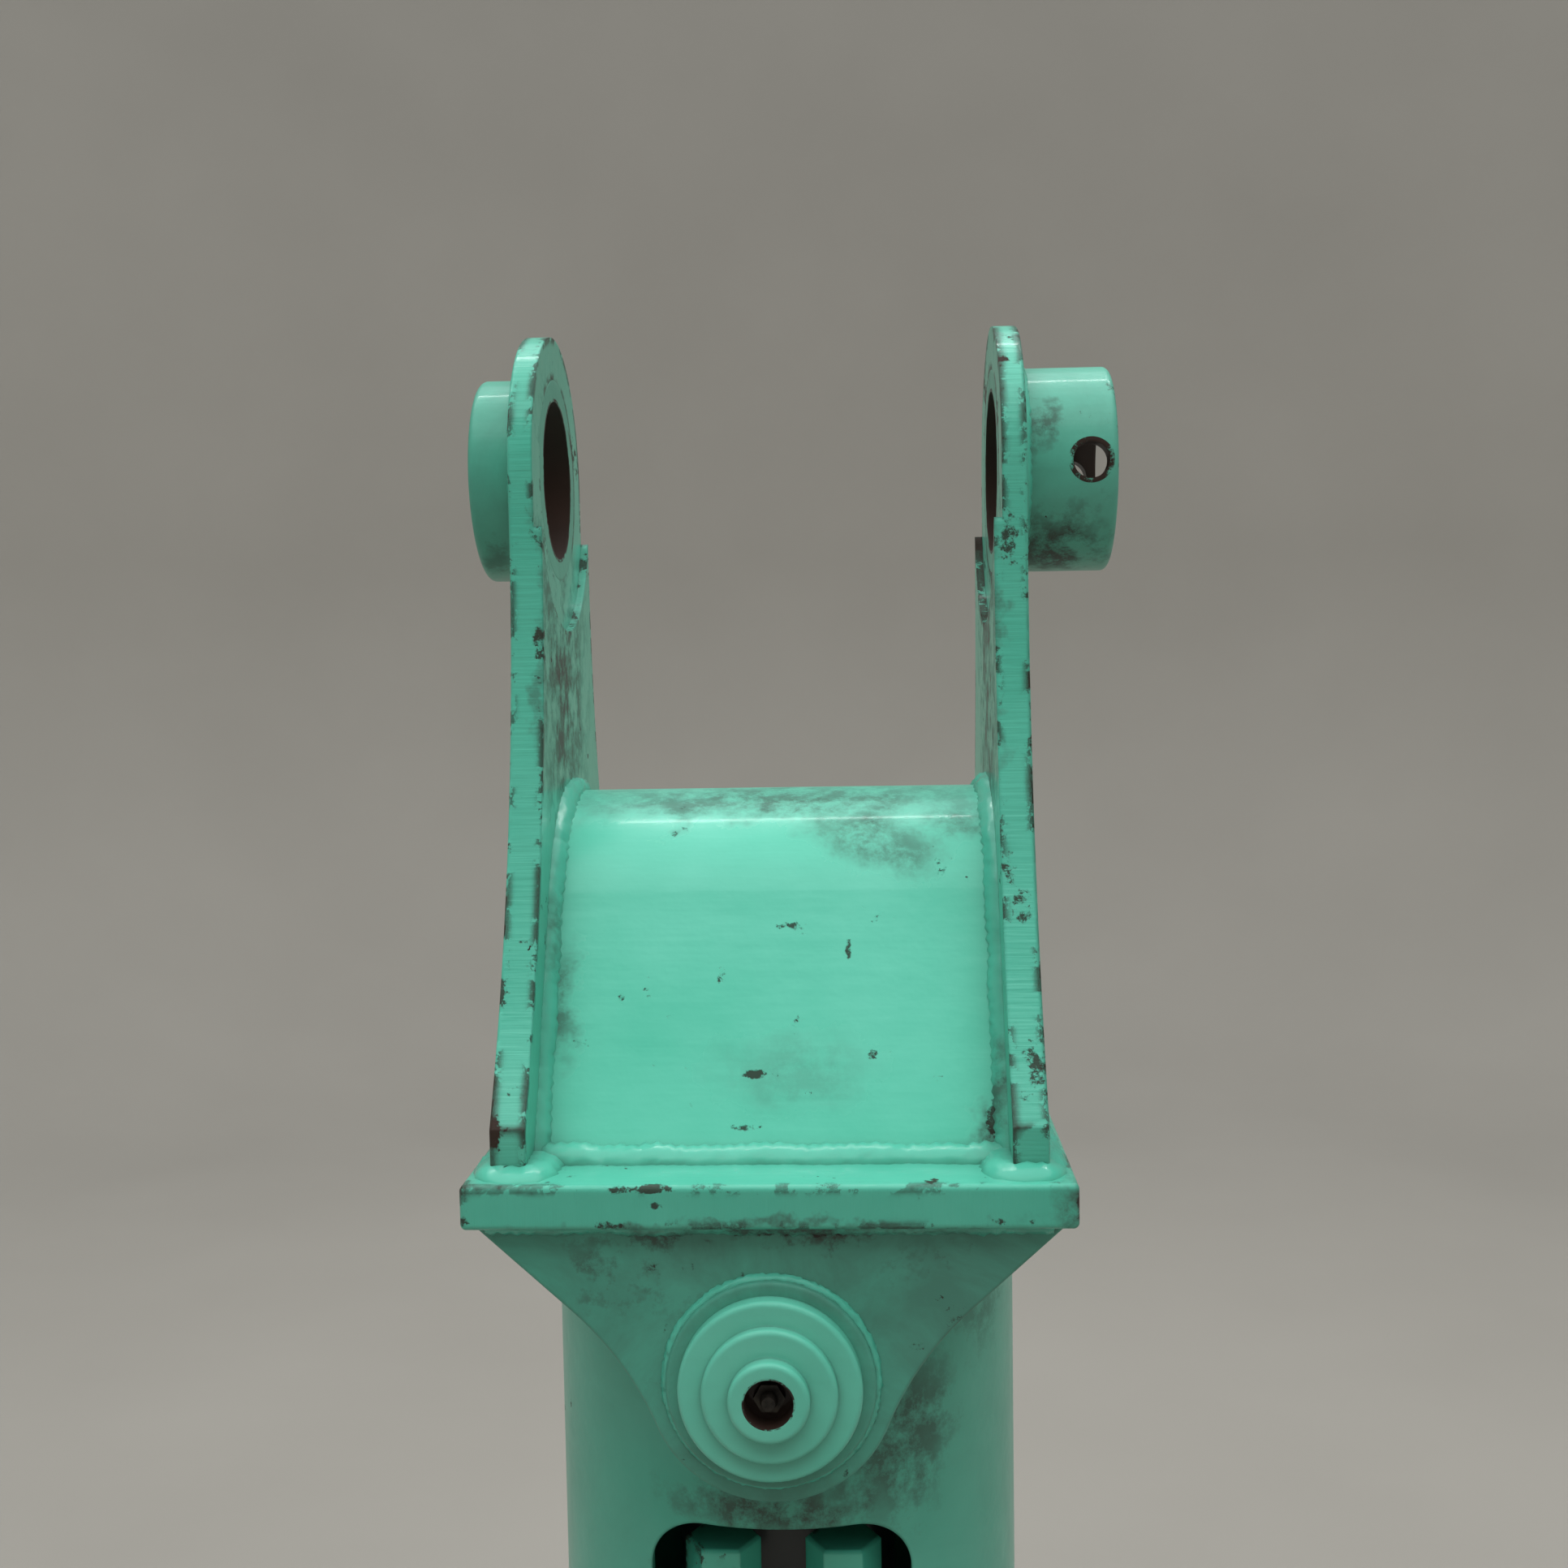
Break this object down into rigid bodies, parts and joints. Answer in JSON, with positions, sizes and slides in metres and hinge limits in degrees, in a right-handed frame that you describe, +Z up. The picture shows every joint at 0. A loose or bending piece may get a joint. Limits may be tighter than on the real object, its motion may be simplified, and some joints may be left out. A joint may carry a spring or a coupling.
{
  "type": "excavator auger drive",
  "caption": "Excavator auger drive: an eared pin hitch carries a side-tilting round hood with a hydraulic motor above a planetary gearbox and a cross-drilled output shaft.",
  "frame": {"origin": "middle of the stick pin bore's axis, halfway between the inner faces of the two ears", "axes": "+X along the stick pin bore towards the longer boss, +Y along the pivot pin away from its stepped head and from the hood's window, +Z up, away from the output shaft"},
  "size_m": [0.238, 0.2754, 0.836],
  "materials": {
    "mint_enamel": "thick glossy brushed enamel over flame-cut steel, chipped and grimy",
    "painted_fasteners": "overpainted hexagon heads, chipped at the corners",
    "motor_black_enamel": "semi-gloss black",
    "machined_steel": "turned steel with grease and light rust",
    "ground_steel": "ground and hardened",
    "zinc_plated_steel": "dull zinc plate",
    "bronze": "cast bronze",
    "seal_rubber": "matt black"
  },
  "bodies": {
    "hitch": {"ear_plate_left": "mint_enamel", "ear_plate_right": "mint_enamel", "pin_boss_left": "mint_enamel", "pin_boss_right": "mint_enamel", "saddle_plate": "mint_enamel", "base_plate": "mint_enamel", "lug_plate_front": "mint_enamel", "lug_plate_rear": "mint_enamel", "lug_ring_front": "mint_enamel", "lug_ring_rear": "mint_enamel", "pivot_pin": "mint_enamel", "pivot_grease_nipple": "zinc_plated_steel", "pin_end_plate": "mint_enamel", "end_plate_bolts": "painted_fasteners"},
    "drive": {"hood_tube": "mint_enamel", "hood_cap": "mint_enamel", "pivot_cross_tube": "mint_enamel", "pivot_bushes": "bronze", "hood_flange": "mint_enamel", "motor_housing": "motor_black_enamel", "motor_gerotor_section": "motor_black_enamel", "motor_end_cover": "motor_black_enamel", "motor_cover_bolts": "painted_fasteners", "motor_mount_bolts": "painted_fasteners", "port_elbows": "zinc_plated_steel", "port_caps": "mint_enamel", "motor_mounting_plate": "mint_enamel", "ring_gear_housing": "mint_enamel", "bearing_housing": "mint_enamel", "gearbox_tie_bolts": "painted_fasteners", "gearbox_tie_nuts": "painted_fasteners", "seal_cover": "mint_enamel", "output_seal": "seal_rubber", "seal_cover_bolts": "painted_fasteners", "upper_bearing_cup": "ground_steel", "lower_bearing_cup": "ground_steel", "oil_plugs": "painted_fasteners"},
    "output": {"output_shaft": "machined_steel", "bearing_locknut": "machined_steel", "planet_carrier": "machined_steel", "planet_pins": "machined_steel", "planet_washers": "machined_steel", "upper_bearing_cone": "ground_steel", "upper_bearing_rollers": "ground_steel", "lower_bearing_cone": "ground_steel", "lower_bearing_rollers": "ground_steel"},
    "sun": {"motor_shaft": "machined_steel", "sun_gear": "ground_steel"},
    "planet_1": {"planet_gear_1": "ground_steel", "planet_bush_1": "bronze"},
    "planet_2": {"planet_gear_2": "ground_steel", "planet_bush_2": "bronze"},
    "planet_3": {"planet_gear_3": "ground_steel", "planet_bush_3": "bronze"}
  },
  "joints": [
    {"name": "hitch_swing", "type": "hinge", "parent": "hitch", "child": "drive", "pos_m": [0, 0, -0.308], "axis": [0, 1, 0], "range_deg": [-12, 12]},
    {"name": "output_spin", "type": "hinge", "parent": "drive", "child": "output", "pos_m": [0, 0, -0.6], "axis": [0, 0, 1], "continuous": true},
    {"name": "sun_spin", "type": "hinge", "parent": "drive", "child": "sun", "pos_m": [0, 0, -0.5], "axis": [0, 0, 1], "continuous": true},
    {"name": "planet_1_spin", "type": "hinge", "parent": "output", "child": "planet_1", "pos_m": [0.04875, 0, -0.529], "axis": [0, 0, 1], "continuous": true},
    {"name": "planet_2_spin", "type": "hinge", "parent": "output", "child": "planet_2", "pos_m": [-0.02438, 0.04222, -0.529], "axis": [0, 0, 1], "continuous": true},
    {"name": "planet_3_spin", "type": "hinge", "parent": "output", "child": "planet_3", "pos_m": [-0.02438, -0.04222, -0.529], "axis": [0, 0, 1], "continuous": true}
  ],
  "couplings": [
    {"joint": "sun_spin", "follows": "output_spin", "ratio": 5.2},
    {"joint": "planet_1_spin", "follows": "output_spin", "ratio": -2.625},
    {"joint": "planet_2_spin", "follows": "output_spin", "ratio": -2.625},
    {"joint": "planet_3_spin", "follows": "output_spin", "ratio": -2.625}
  ]
}
